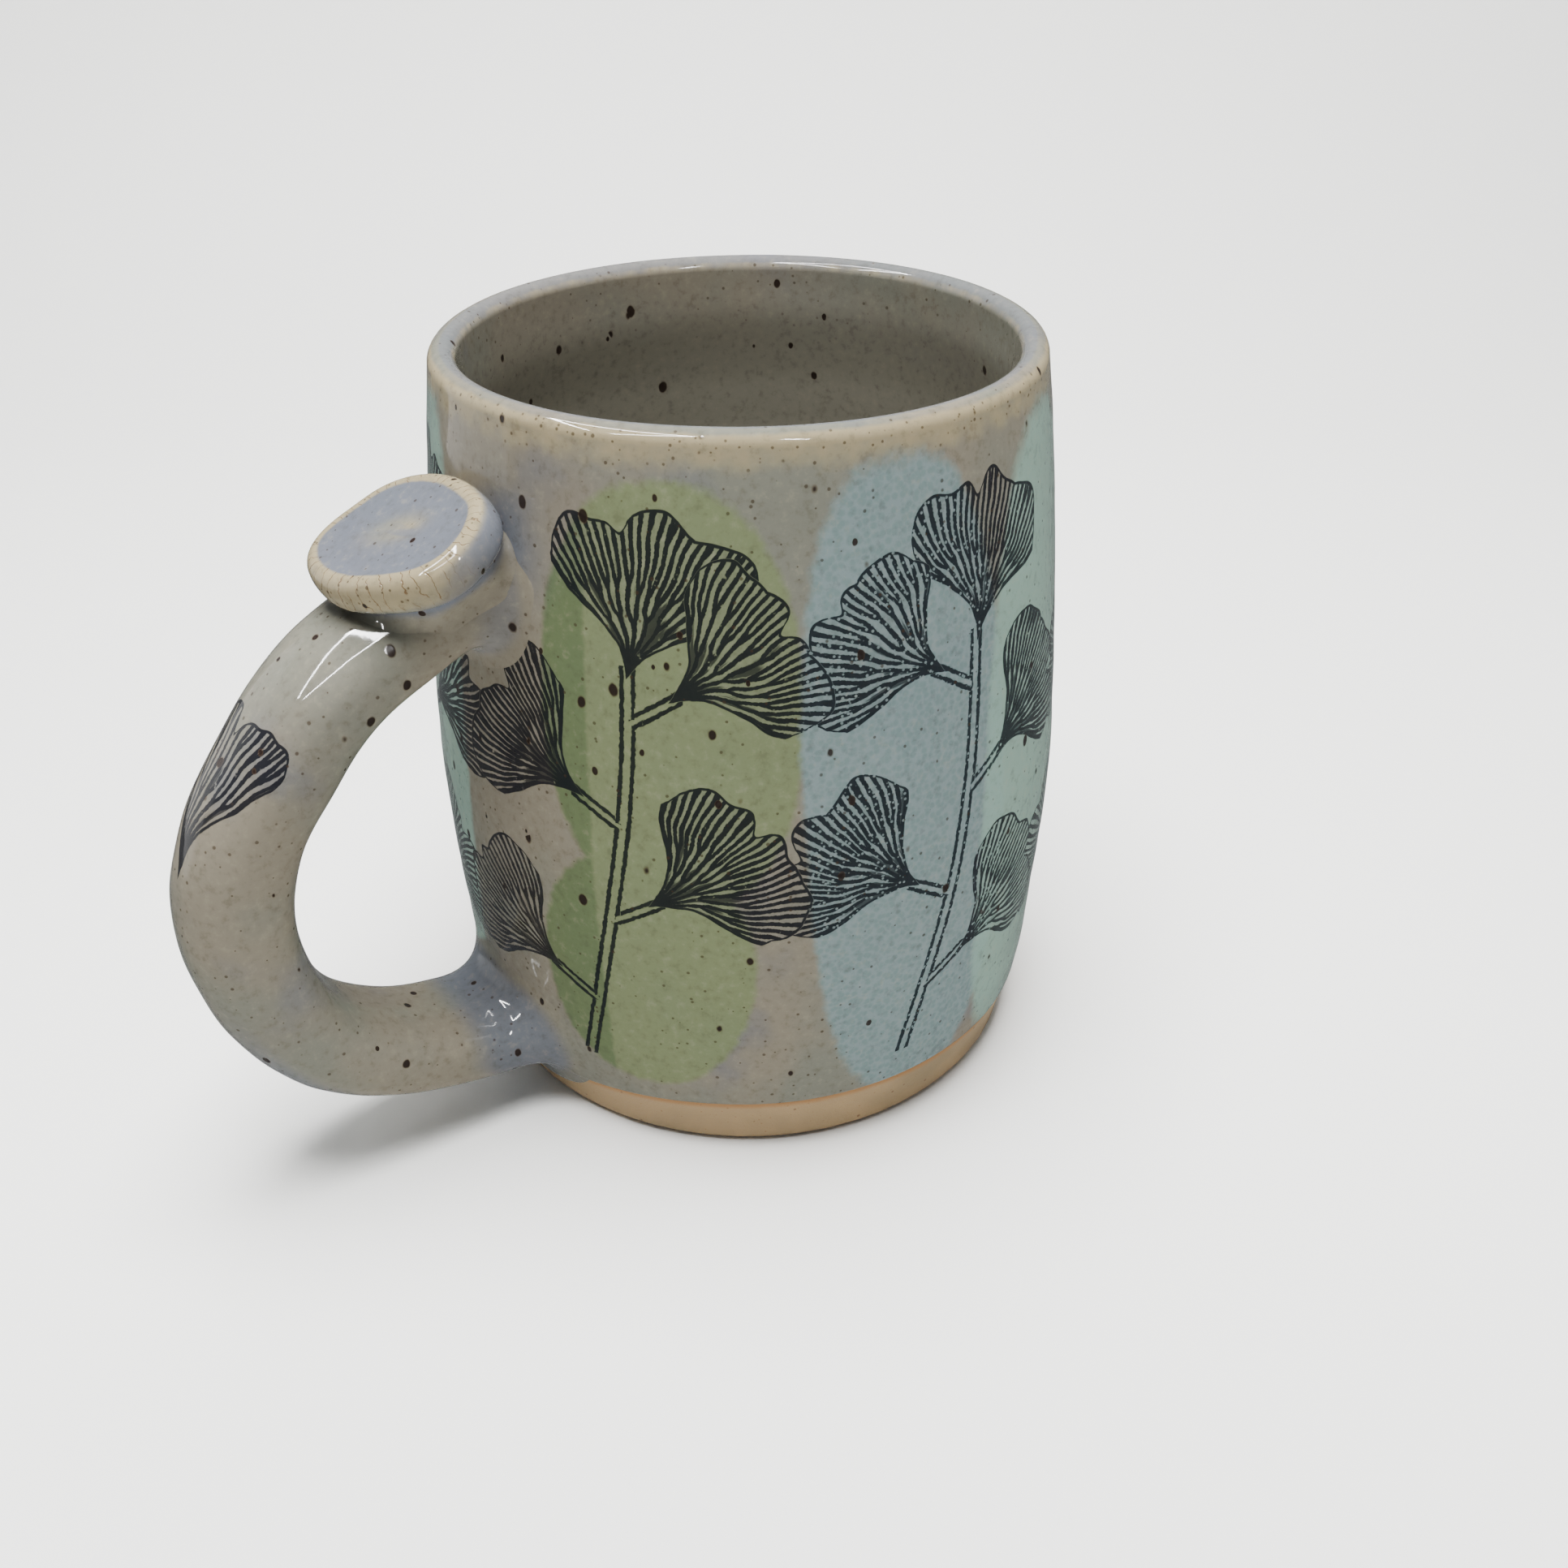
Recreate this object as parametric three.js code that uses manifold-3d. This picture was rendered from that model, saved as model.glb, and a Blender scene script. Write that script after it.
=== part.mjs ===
// A hand-thrown stoneware mug with a pulled strap handle and a thumb rest.
// Millimetres, +Z up. The origin is the centre of the base, the handle points along -X.

import * as THREE from 'three';
import { mergeVertices } from 'three/addons/utils/BufferGeometryUtils.js';
import Module from 'manifold-3d';

const wasm = await Module();
wasm.setup();

// ---------------------------------------------------------------- driving dimensions

const HEIGHT = 100;
const FOOT_RADIUS = 38.9;      // at the top of the rounded foot edge
const FOOT_ROUND = 1.6;        // rounding of the foot's lower edge
const BELLY_RADIUS = 42.7;
const BELLY_HEIGHT = 42;
const RIM_RADIUS = 38.1;       // outside of the lip
const LIP_ROUND = 1.75;        // half the thickness of the lip
const LIP_HEIGHT = 4;          // the wall thins to the lip over this height
const WALL = 4.2;              // wall thickness below the lip
const FLOOR = 6.5;             // floor thickness
const INSIDE_CORNER = 12;      // radius between the floor and the wall, inside
const CORNER_END = -8;         // degrees, where that corner runs into the leaning wall

// The outside of the wall from the foot to the lip, as distance from the mug's axis and height.
const WALL_LINE = [
  [FOOT_RADIUS, FOOT_ROUND],
  [40.6, 9],
  [41.8, 22],
  [BELLY_RADIUS, BELLY_HEIGHT],
  [41.8, 62],
  [40.3, 80],
  [39.0, 91],
  [RIM_RADIUS, HEIGHT - LIP_ROUND],
];

const STRAP_WIDE = 20.5;       // strap width at the upper joint
const STRAP_NARROW = 14.5;     // strap width half way round
const STRAP_LOWER = 19.5;      // strap width at the lower joint
const STRAP_THICK = 9.6;       // strap thickness at the joints
const STRAP_THICKEST = 13.2;   // strap thickness half way round
const STRAP_SQUARENESS = 2.2;  // 2 is a plain ellipse, higher is flatter
const STRAP_EASE = 1.5;        // how late the strap swells towards its joints, 1 is evenly

// The middle line of the strap, as distance from the mug's axis and height.
const STRAP_LINE = [
  [36.0, 79.5],
  [47.9, 74.8],
  [58.4, 69.4],
  [66.0, 61.5],
  [72.1, 52.4],
  [74.8, 41.8],
  [73.3, 30.7],
  [68.1, 21.0],
  [59.1, 14.6],
  [47.9, 11.4],
  [35.7, 10.4],
];

const REST_LENGTH = 19.4;      // thumb rest, short axis
const REST_WIDTH = 26.2;       // thumb rest, long axis
const REST_MEAN_RADIUS = (REST_LENGTH + REST_WIDTH) / 4;
const REST_THICK = 5.0;
const REST_DISH = 0.7;         // depth of the hollow in its top
const REST_TILT = 28;          // degrees, down and away from the wall
const REST_TURN = 22;          // degrees, the long axis turned out of square with the handle
const REST_CENTRE = new THREE.Vector3(-47.6, -2.2, 84.4);

// The hollow in the thumb rest, from its edge inwards: share of the rest's radius and of the hollow's depth.
const REST_HOLLOW = [[0.62, 0.7], [0.35, 1], [0, 1]];

const NECK_DEEP = 8;           // how far the neck reaches down from the thumb rest's middle
const NECK_ENVELOPE = 2.6;     // how far it stands out from the strap
const NECK_RUN = 0.34;         // share of the handle's length that it may lie along

// The neck's side, from the bottom up: share of the rest's radius and of the neck's depth.
const NECK_SIDE = [[1, 1], [0.88, 0.5]];
const NECK_TOP = 0.82;         // share of the radius where it meets the rest

const COIL = 4.4;              // height of a joint's coil of clay at the wall
const COIL_EDGE = 0.9;         // its height where it runs out on the handle
const UPPER_COIL_LENGTH = 0.12; // share of the handle's length
const LOWER_COIL_LENGTH = 0.11;

const GAP = 0.3;               // between two pieces of clay, filled by slip
const ABOVE_RIM = 5;           // how far the wall's trimming shape goes on above the rim
const LEAN_IN = 0.6;           // how far it leans in there

// How finely the round shapes are divided.
const WALL_SIDES = 72;
const WALL_STEPS = 14;
const FOOT_STEPS = 3;
const LIP_STEPS = 6;
const CORNER_STEPS = 5;
const STRAP_SIDES = 20;
const STRAP_STEPS = 46;
const COIL_STEPS = 10;
const REST_SIDES = 40;
const REST_EDGE_STEPS = 8;
const NECK_SIDES = 32;
const NECK_STEPS = 16;

// ---------------------------------------------------------------- materials

const glazed = (name, color) => new THREE.MeshStandardMaterial({ name, color, roughness: 0.2, metalness: 0 });

const WALL_GLAZE = glazed('wall_glaze', 0x78736b);
const HANDLE_GLAZE = glazed('handle_glaze', 0x736e63);
const REST_GLAZE = glazed('rest_glaze', 0x857d70);
const COIL_GLAZE = glazed('coil_glaze', 0x6e7074);

// ---------------------------------------------------------------- solids

function toSolid(geometry) {
  const bare = geometry.index ? geometry.toNonIndexed() : geometry.clone();
  bare.deleteAttribute('normal');
  bare.deleteAttribute('uv');
  const merged = mergeVertices(bare, 1e-4);
  const corners = merged.index.array;
  const triangles = [];
  for (let i = 0; i < corners.length; i += 3) {
    const [a, b, c] = corners.slice(i, i + 3);
    if (a !== b && b !== c && c !== a) triangles.push(a, b, c);
  }
  return new wasm.Manifold(new wasm.Mesh({
    numProp: 3,
    vertProperties: new Float32Array(merged.attributes.position.array),
    triVerts: new Uint32Array(triangles),
  }));
}

function toGeometry(solid) {
  const mesh = solid.getMesh();
  const geometry = new THREE.BufferGeometry();
  geometry.setAttribute('position', new THREE.BufferAttribute(mesh.vertProperties, 3));
  geometry.setIndex(new THREE.BufferAttribute(mesh.triVerts, 1));
  geometry.computeVertexNormals();
  return geometry;
}

// A cut can leave loose crumbs: only the largest piece is kept.
function largest(solid) {
  return solid.decompose().reduce((best, piece) => (piece.volume() > best.volume() ? piece : best));
}

function turned(profile, sides) {
  return new THREE.LatheGeometry(profile, sides).rotateX(Math.PI / 2);
}

function arc(r, z, radius, from, to, steps) {
  const points = [];
  for (let i = 0; i <= steps; i += 1) {
    const angle = THREE.MathUtils.degToRad(THREE.MathUtils.lerp(from, to, i / steps));
    points.push(new THREE.Vector2(r + radius * Math.cos(angle), z + radius * Math.sin(angle)));
  }
  return points;
}

// ---------------------------------------------------------------- body

const OUTER_WALL = new THREE.SplineCurve(WALL_LINE.map(([r, z]) => new THREE.Vector2(r, z)));

function outerProfile(grow = 0) {
  const foot = arc(FOOT_RADIUS - FOOT_ROUND, FOOT_ROUND, FOOT_ROUND + grow, -90, 0, FOOT_STEPS);
  const wall = OUTER_WALL.getSpacedPoints(WALL_STEPS)
    .slice(1, -1)
    .map((p) => new THREE.Vector2(p.x + grow, p.y));
  return [...foot, ...wall];
}

function bodyGeometry() {
  const lip = arc(RIM_RADIUS - LIP_ROUND, HEIGHT - LIP_ROUND, LIP_ROUND, 0, 180, LIP_STEPS);
  const floorCorner = FLOOR + INSIDE_CORNER;
  const inner = OUTER_WALL.getSpacedPoints(WALL_STEPS)
    .filter((p) => p.y > floorCorner && p.y < HEIGHT - LIP_HEIGHT)
    .map((p) => new THREE.Vector2(p.x - WALL, p.y))
    .reverse();
  const cornerRadius = inner.at(-1).x - INSIDE_CORNER;
  const corner = arc(cornerRadius, floorCorner, INSIDE_CORNER, CORNER_END, -90, CORNER_STEPS);
  const profile = [
    new THREE.Vector2(0, 0),
    ...outerProfile(),
    ...lip,
    ...inner,
    ...corner,
    new THREE.Vector2(0, FLOOR),
  ];
  return turned(profile, WALL_SIDES);
}

// The whole outside of the wall as one solid, grown by the gap: it trims what is stuck to it.
function wallCutter() {
  const top = outerProfile(GAP).at(-1);
  const profile = [
    new THREE.Vector2(0, -GAP),
    ...outerProfile(GAP),
    new THREE.Vector2(top.x - LEAN_IN, HEIGHT + ABOVE_RIM),
    new THREE.Vector2(0, HEIGHT + ABOVE_RIM),
  ];
  return toSolid(turned(profile, WALL_SIDES));
}

// ---------------------------------------------------------------- handle

const STRAP_CURVE = new THREE.CatmullRomCurve3(
  STRAP_LINE.map(([out, up]) => new THREE.Vector3(-out, 0, up)),
);

function strapSize(t) {
  const ease = Math.abs(2 * t - 1) ** STRAP_EASE;
  const jointWidth = t < 0.5 ? STRAP_WIDE : STRAP_LOWER;
  return {
    width: THREE.MathUtils.lerp(STRAP_NARROW, jointWidth, ease),
    thick: THREE.MathUtils.lerp(STRAP_THICKEST, STRAP_THICK, ease),
  };
}

// Sweeps an oval along the strap's middle line from t0 to t1; extra(share) widens it all round.
function sweep(t0, t1, steps, extra) {
  const positions = [];
  const indices = [];
  const across = new THREE.Vector3(0, 1, 0);
  const power = 2 / STRAP_SQUARENESS;
  for (let i = 0; i <= steps; i += 1) {
    const t = THREE.MathUtils.lerp(t0, t1, i / steps);
    const centre = STRAP_CURVE.getPointAt(t);
    const outward = STRAP_CURVE.getTangentAt(t).cross(across);
    const { width, thick } = strapSize(t);
    const grow = extra(i / steps);
    for (let j = 0; j < STRAP_SIDES; j += 1) {
      const angle = (2 * Math.PI * j) / STRAP_SIDES;
      const c = Math.cos(angle);
      const s = Math.sin(angle);
      const side = Math.sign(s) * Math.abs(s) ** power * (width / 2 + grow);
      const rise = Math.sign(c) * Math.abs(c) ** power * (thick / 2 + grow);
      const point = centre.clone().addScaledVector(across, side).addScaledVector(outward, rise);
      positions.push(...point.toArray());
    }
  }
  for (let i = 0; i < steps; i += 1) {
    for (let j = 0; j < STRAP_SIDES; j += 1) {
      const a = i * STRAP_SIDES + j;
      const b = i * STRAP_SIDES + ((j + 1) % STRAP_SIDES);
      indices.push(a, a + STRAP_SIDES, b, b, a + STRAP_SIDES, b + STRAP_SIDES);
    }
  }
  const last = steps * STRAP_SIDES;
  for (let j = 1; j < STRAP_SIDES - 1; j += 1) {
    indices.push(0, j, j + 1, last, last + j + 1, last + j);
  }
  const geometry = new THREE.BufferGeometry();
  geometry.setAttribute('position', new THREE.BufferAttribute(new Float32Array(positions), 3));
  geometry.setIndex(indices);
  return toSolid(geometry);
}

// ---------------------------------------------------------------- thumb rest

// Tilts a solid turned about +Z so that it lies on the strap, oval, at the thumb rest's place.
function placeOnStrap(geometry) {
  return geometry
    .scale(REST_LENGTH / 2, REST_WIDTH / 2, 1)
    .rotateZ(THREE.MathUtils.degToRad(REST_TURN))
    .rotateY(THREE.MathUtils.degToRad(-REST_TILT))
    .translate(REST_CENTRE.x, REST_CENTRE.y, REST_CENTRE.z);
}

function restSolid(grow = 0) {
  const half = REST_THICK / 2 + grow;
  const round = REST_THICK / 2 / REST_MEAN_RADIUS;
  const spread = grow / REST_MEAN_RADIUS;
  const edge = arc(0, 0, 1, -90, 90, REST_EDGE_STEPS).map(
    (p) => new THREE.Vector2(1 - round + p.x * round + spread, p.y * half),
  );
  const hollow = REST_HOLLOW.map(([radius, depth]) => new THREE.Vector2(radius, half - REST_DISH * depth));
  const profile = [new THREE.Vector2(0, -half), ...edge, ...hollow];
  return toSolid(placeOnStrap(turned(profile, REST_SIDES)));
}

// The neck under the thumb rest: a low cone that widens downwards onto the strap.
function neckSolid(grow = 0) {
  const top = grow > 0 ? 0 : -REST_THICK / 2 - GAP;
  const spread = grow / REST_MEAN_RADIUS;
  const side = NECK_SIDE.map(([radius, depth]) => new THREE.Vector2(radius + spread, -NECK_DEEP * depth));
  const profile = [
    new THREE.Vector2(0, -NECK_DEEP),
    ...side,
    new THREE.Vector2(NECK_TOP + spread, top),
    new THREE.Vector2(0, top),
  ];
  return toSolid(placeOnStrap(turned(profile, NECK_SIDES)));
}

// ---------------------------------------------------------------- trimming the pieces to each other

const wall = wallCutter();
const strap = sweep(0, 1, STRAP_STEPS, () => 0);
const strapCutter = sweep(0, 1, STRAP_STEPS, () => GAP);
const envelope = sweep(0, NECK_RUN, NECK_STEPS, () => NECK_ENVELOPE);

const handle = largest(strap.subtract(wall));
const thumbRest = largest(restSolid().subtract(wall).subtract(strapCutter));
const restNeck = largest(
  neckSolid().intersect(envelope).subtract(wall).subtract(strapCutter).subtract(restSolid(GAP)),
);

// A coil flares from its thin edge on the strap to its full height at the wall.
const flare = (nearness) => COIL_EDGE + (COIL - COIL_EDGE) * nearness ** 2;

const upperCoil = largest(
  sweep(0, UPPER_COIL_LENGTH, COIL_STEPS, (share) => flare(1 - share))
    .subtract(wall)
    .subtract(strapCutter)
    .subtract(restSolid(GAP))
    .subtract(neckSolid(GAP)),
);
const lowerCoil = largest(
  sweep(1 - LOWER_COIL_LENGTH, 1, COIL_STEPS, flare)
    .subtract(wall)
    .subtract(strapCutter),
);

// ---------------------------------------------------------------- the mug

const mug = new THREE.Group();

function addPiece(name, geometry, material) {
  const mesh = new THREE.Mesh(geometry, material);
  mesh.name = name;
  mug.add(mesh);
}

addPiece('body', bodyGeometry(), WALL_GLAZE);
addPiece('handle', toGeometry(handle), HANDLE_GLAZE);
addPiece('thumb_rest', toGeometry(thumbRest), REST_GLAZE);
addPiece('thumb_rest_coil', toGeometry(restNeck), COIL_GLAZE);
addPiece('upper_joint_coil', toGeometry(upperCoil), COIL_GLAZE);
addPiece('lower_joint_coil', toGeometry(lowerCoil), COIL_GLAZE);

export default mug;
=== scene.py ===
"""A hand-thrown stoneware mug with a strap handle, a thumb rest, colour patches and printed leaves."""

import math
from functools import partialmethod

import bpy
import numpy as np
from mathutils import Matrix, Vector
from mathutils.bvhtree import BVHTree


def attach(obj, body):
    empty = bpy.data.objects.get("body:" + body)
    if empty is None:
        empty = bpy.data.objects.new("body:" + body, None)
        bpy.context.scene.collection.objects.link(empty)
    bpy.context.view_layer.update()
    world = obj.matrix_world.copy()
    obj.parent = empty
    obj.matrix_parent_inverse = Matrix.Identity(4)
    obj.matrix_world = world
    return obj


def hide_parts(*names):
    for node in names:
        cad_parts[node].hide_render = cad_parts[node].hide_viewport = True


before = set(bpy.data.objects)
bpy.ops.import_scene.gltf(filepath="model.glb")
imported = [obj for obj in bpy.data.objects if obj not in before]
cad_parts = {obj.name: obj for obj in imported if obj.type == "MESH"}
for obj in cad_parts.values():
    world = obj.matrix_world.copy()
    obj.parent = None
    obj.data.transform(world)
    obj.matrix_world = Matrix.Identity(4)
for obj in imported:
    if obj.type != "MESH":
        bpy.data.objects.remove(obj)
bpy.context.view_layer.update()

MM = 0.001

# ---------------- numbers, in millimetres and degrees

# The thrown wall. OUTER is heights, then their radii. INNER is (radius, height), from the lip to the middle.
OUTER = ((0, 1.6, 9, 22, 42, 62, 80, 91, 98.25), (38.6, 38.9, 40.6, 41.8, 42.7, 41.8, 40.3, 39.0, 38.1))
INNER = (
    (34.6, 94.0), (34.9, 90), (36.1, 80), (37.7, 60), (38.5, 42), (38.1, 30), (37.5, 20), (36.8, 15),
    (35.5, 12), (33.6, 9.9), (31.2, 8.2), (28.4, 7.1), (25, 6.6), (18, 6.5), (9, 6.5), (1.2, 6.5),
)
LIP_RADIUS = 1.75
LIP_AT = (36.35, 98.25)
FOOT_RADIUS = 1.6
FOOT_HOLLOW = 0.45
COLUMNS = 360
WALL_ROWS, LIP_ROWS, INSIDE_ROWS = 122, 17, 92

# The glaze ends at GLAZE_LINE, lower by GLAZE_DIP at the handle. Its edge is (how far sunk, how far up).
GLAZE_LINE = 8.5
GLAZE_DIP = 2.8
GLAZE_THICK = 0.3
GLAZE_EDGE = ((0.55, 0.5), (0.42, 0.1), (0.22, -0.02), (0.08, 0.12))

# Distances round the wall are measured at this radius.
ARC_RADIUS = 41.8

# The strap's middle line is (distance from the axis, height), from its upper end to its lower end.
STRAP_LINE = (
    (36.0, 79.5), (47.9, 74.8), (58.4, 69.4), (66.0, 61.5), (72.1, 52.4), (74.8, 41.8), (73.3, 30.7),
    (68.1, 21.0), (59.1, 14.6), (47.9, 11.4), (35.7, 10.4),
)
STRAP_WIDE, STRAP_NARROW, STRAP_LOWER = 20.5, 14.5, 19.5
STRAP_THICK, STRAP_THICKEST = 9.6, 13.2
STRAP_SIDES, STRAP_RINGS = 84, 200
OUTER_SQUARE, INNER_SQUARE = 2.3, 2.9

# A joint's reach is how far it runs along the strap, then over the wall to the sides, upward and downward.
UPPER_REACH = (5.5, (4.2, 4.6, 4.6))
LOWER_REACH = (8.0, (6.5, 6.0, 3.2))
JOINT_RINGS = 18

# All of the strap's skin has come out of the wall within this distance of its end.
STRAP_INSIDE_WALL = 26.0

# The pad's section is (distance in from its edge, height), from the top over the edge to the underside.
PAD_CENTRE = (-47.6, -2.2, 84.4)
PAD_HALF = (9.7, 13.1)
PAD_TILT, PAD_TURN = 28, 22
PAD_SECTION = (
    (8.6, 2.0), (6.0, 2.02), (4.0, 2.1), (2.6, 2.32), (1.75, 2.42), (1.05, 2.2), (0.42, 1.6), (0.1, 0.7),
    (0.0, -0.4), (0.12, -1.3), (0.55, -2.05), (1.4, -2.6), (2.4, -2.8),
)
PAD_SIDES, PAD_RINGS = 112, 58
PAD_CRACKS = 46

# The neck leaves the pad's underside at this inset and height, and reaches down to the handle and the wall.
NECK_INSET, NECK_START = 1.7, -1.8
NECK_REACH = 6.5
NECK_RINGS = 20


# ---------------- small helpers

def curve(xs, ys):
    """A smooth curve through the points, as a function of x."""
    xs, ys = np.array(xs, float), np.array(ys, float)
    slope = np.gradient(ys, xs)

    def at(x):
        x = np.clip(x, xs[0], xs[-1])
        i = np.clip(np.searchsorted(xs, x) - 1, 0, len(xs) - 2)
        h = xs[i + 1] - xs[i]
        t = (x - xs[i]) / h
        return (
            (1 + 2 * t) * (1 - t) ** 2 * ys[i] + t * (1 - t) ** 2 * h * slope[i]
            + t * t * (3 - 2 * t) * ys[i + 1] - t * t * (1 - t) * h * slope[i + 1]
        )

    return at


def path(points):
    """A smooth line's two coordinates, as functions of distance along it, and its length."""
    points = np.array(points, float)
    along = np.concatenate([[0], np.cumsum(np.linalg.norm(np.diff(points, axis=0), axis=1))])
    return curve(along, points[:, 0]), curve(along, points[:, 1]), along[-1]


def step(low, high, x):
    """0 at low, 1 at high and smooth between."""
    t = np.clip((x - low) / (high - low), 0, 1)
    return t * t * (3 - 2 * t)


def uneven(points, size, seed):
    """A smooth random height at each point, mostly within -1 to 1, with features of about this size."""
    rng = np.random.default_rng(seed)
    total = 0
    for _ in range(12):
        way = rng.normal(size=3)
        way /= np.linalg.norm(way)
        turns = points @ way * math.tau / (size * rng.uniform(0.7, 1.6))
        total = total + np.sin(turns + rng.uniform(0, math.tau))
    return total / 5


def unit(v):
    """The directions of the vectors."""
    return v / np.maximum(np.linalg.norm(v, axis=-1, keepdims=True), 1e-9)


def grid_faces(rows, columns):
    """The faces of a grid of points whose columns close on themselves."""
    r, c = np.meshgrid(np.arange(rows - 1) * columns, np.arange(columns), indexing="ij")
    n = (c + 1) % columns
    return np.stack([r + c, r + n, r + columns + n, r + columns + c], -1).reshape(-1, 4)


def near_angle(angle, centre, width):
    """1 at the centre, in degrees, and falling to 0 to both sides of it, over about the width in radians."""
    gap = (angle - math.radians(centre) + math.pi) % math.tau - math.pi
    return np.exp(-((gap / width) ** 2))


class Surface:
    """One continuous skin with its values. Pieces cut from it keep its normals, so no seam shows."""

    def __init__(self, points, faces, caps=()):
        self.points, self.faces, self.caps = points.reshape(-1, 3), faces, list(caps)
        p = self.points[faces]
        across = np.cross(p[:, 2] - p[:, 0], p[:, 3] - p[:, 1])
        self.normals = np.zeros_like(self.points)
        for k in range(4):
            np.add.at(self.normals, faces[:, k], across)
        self.normals = unit(self.normals)
        self.values, self.corner_values = {}, {}

    def tree(self):
        """A search tree for the nearest place on the skin."""
        return BVHTree.FromPolygons(self.points.tolist(), self.faces.tolist())

    def piece(self, name, material, keep=None, caps=False):
        """One mesh of the faces to keep, with the values and normals of the whole skin."""
        faces = self.faces if keep is None else self.faces[keep]
        loops = [f.tolist() for f in faces] + (self.caps if caps else [])
        used = np.unique(np.concatenate([np.array(f) for f in loops]))
        new = np.full(len(self.points), -1)
        new[used] = np.arange(len(used))
        mesh = bpy.data.meshes.new(name)
        mesh.from_pydata((self.points[used] * MM).tolist(), [], [new[f].tolist() for f in loops])
        mesh.shade_smooth()
        mesh.normals_split_custom_set_from_vertices(self.normals[used].tolist())
        for key, value in self.values.items():
            slot = mesh.attributes.new(key, "FLOAT_VECTOR", "POINT")
            slot.data.foreach_set("vector", value[used].astype(np.float32).ravel())
        for key, value in self.corner_values.items():
            part = (value if keep is None else value[keep]).reshape(-1, 3)
            rest = np.zeros((len(mesh.loops) - len(part), 3))
            slot = mesh.attributes.new(key, "FLOAT_VECTOR", "CORNER")
            slot.data.foreach_set("vector", np.concatenate([part, rest]).astype(np.float32).ravel())
        mesh.materials.append(material)
        piece = bpy.data.objects.new(name, mesh)
        bpy.context.scene.collection.objects.link(piece)
        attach(piece, "root")
        return piece


# ---------------- shader formulas

class Num:
    """A number that flows through a shader, so that a pattern can be written as a formula."""

    def __init__(self, tree, socket):
        self.tree, self.socket = tree, socket

    def op(self, kind, *others):
        node = self.tree.nodes.new("ShaderNodeMath")
        node.operation = kind
        for slot, value in zip(node.inputs, (self, *others)):
            feed(slot, value)
        return Num(self.tree, node.outputs[0])

    def __rsub__(self, other):
        return (self * -1) + other

    __add__ = __radd__ = partialmethod(op, "ADD")
    __sub__ = partialmethod(op, "SUBTRACT")
    __mul__ = __rmul__ = partialmethod(op, "MULTIPLY")
    __truediv__ = partialmethod(op, "DIVIDE")
    __pow__ = partialmethod(op, "POWER")
    __abs__ = partialmethod(op, "ABSOLUTE")
    low = partialmethod(op, "MINIMUM")
    high = partialmethod(op, "MAXIMUM")
    floor = partialmethod(op, "FLOOR")
    fract = partialmethod(op, "FRACT")
    sine = partialmethod(op, "SINE")
    exponent = partialmethod(op, "EXPONENT")

    def ramp(self, start, end):
        """0 at start, 1 at end and smooth between."""
        node = self.tree.nodes.new("ShaderNodeMapRange")
        node.interpolation_type = "SMOOTHSTEP"
        feed(node.inputs["Value"], self)
        feed(node.inputs["From Min"], start)
        feed(node.inputs["From Max"], end)
        return Num(self.tree, node.outputs["Result"])


def feed(slot, value):
    """Links a formula to the slot, or sets the slot to a constant."""
    if isinstance(value, Num):
        value.tree.links.new(value.socket, slot)
    else:
        slot.default_value = value


def vector(*axes):
    tree = next(value.tree for value in axes if isinstance(value, Num))
    node = tree.nodes.new("ShaderNodeCombineXYZ")
    for slot, value in zip(node.inputs, axes):
        feed(slot, value)
    return Num(tree, node.outputs[0])


def parts(value):
    node = value.tree.nodes.new("ShaderNodeSeparateXYZ")
    feed(node.inputs[0], value)
    return [Num(value.tree, out) for out in node.outputs]


def noise(at, scale, detail=2.0, rough=0.5):
    node = at.tree.nodes.new("ShaderNodeTexNoise")
    feed(node.inputs["Vector"], at)
    node.inputs["Scale"].default_value = scale
    node.inputs["Detail"].default_value = detail
    node.inputs["Roughness"].default_value = rough
    return Num(at.tree, node.outputs["Fac"])


def cells(at, scale):
    """The distance to the nearest of some scattered points, and a random colour for each of them."""
    node = at.tree.nodes.new("ShaderNodeTexVoronoi")
    feed(node.inputs["Vector"], at)
    node.inputs["Scale"].default_value = scale
    return Num(at.tree, node.outputs["Distance"]), Num(at.tree, node.outputs["Color"])


def mix(a, b, share):
    """Two colours mixed: all a where share is 0, and all b where it is 1."""
    node = share.tree.nodes.new("ShaderNodeMix")
    node.data_type = "RGBA"
    feed(node.inputs["Factor"], share)
    for name, value in (("A", a), ("B", b)):
        slot = next(s for s in node.inputs if s.name == name and s.type == "RGBA")
        feed(slot, value)
    return Num(share.tree, next(s for s in node.outputs if s.type == "RGBA"))


def colour(red, green, blue):
    """A display colour from 0 to 255 as the linear colour that shaders use."""
    def linear(c):
        return ((c / 255 + 0.055) / 1.055) ** 2.4 if c > 10 else c / 3295

    return linear(red), linear(green), linear(blue), 1.0


def attribute(tree, name):
    """The values that the mesh stores under this name."""
    node = tree.nodes.new("ShaderNodeAttribute")
    node.attribute_name = name
    return Num(tree, node.outputs["Vector"])


# A leaf's half spread is this share of itself at its apex, and all of itself from this share of its length.
LEAF_NARROW, LEAF_OPEN_AT = 0.42, 0.62
FIRST_VEINS = 7.0


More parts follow.
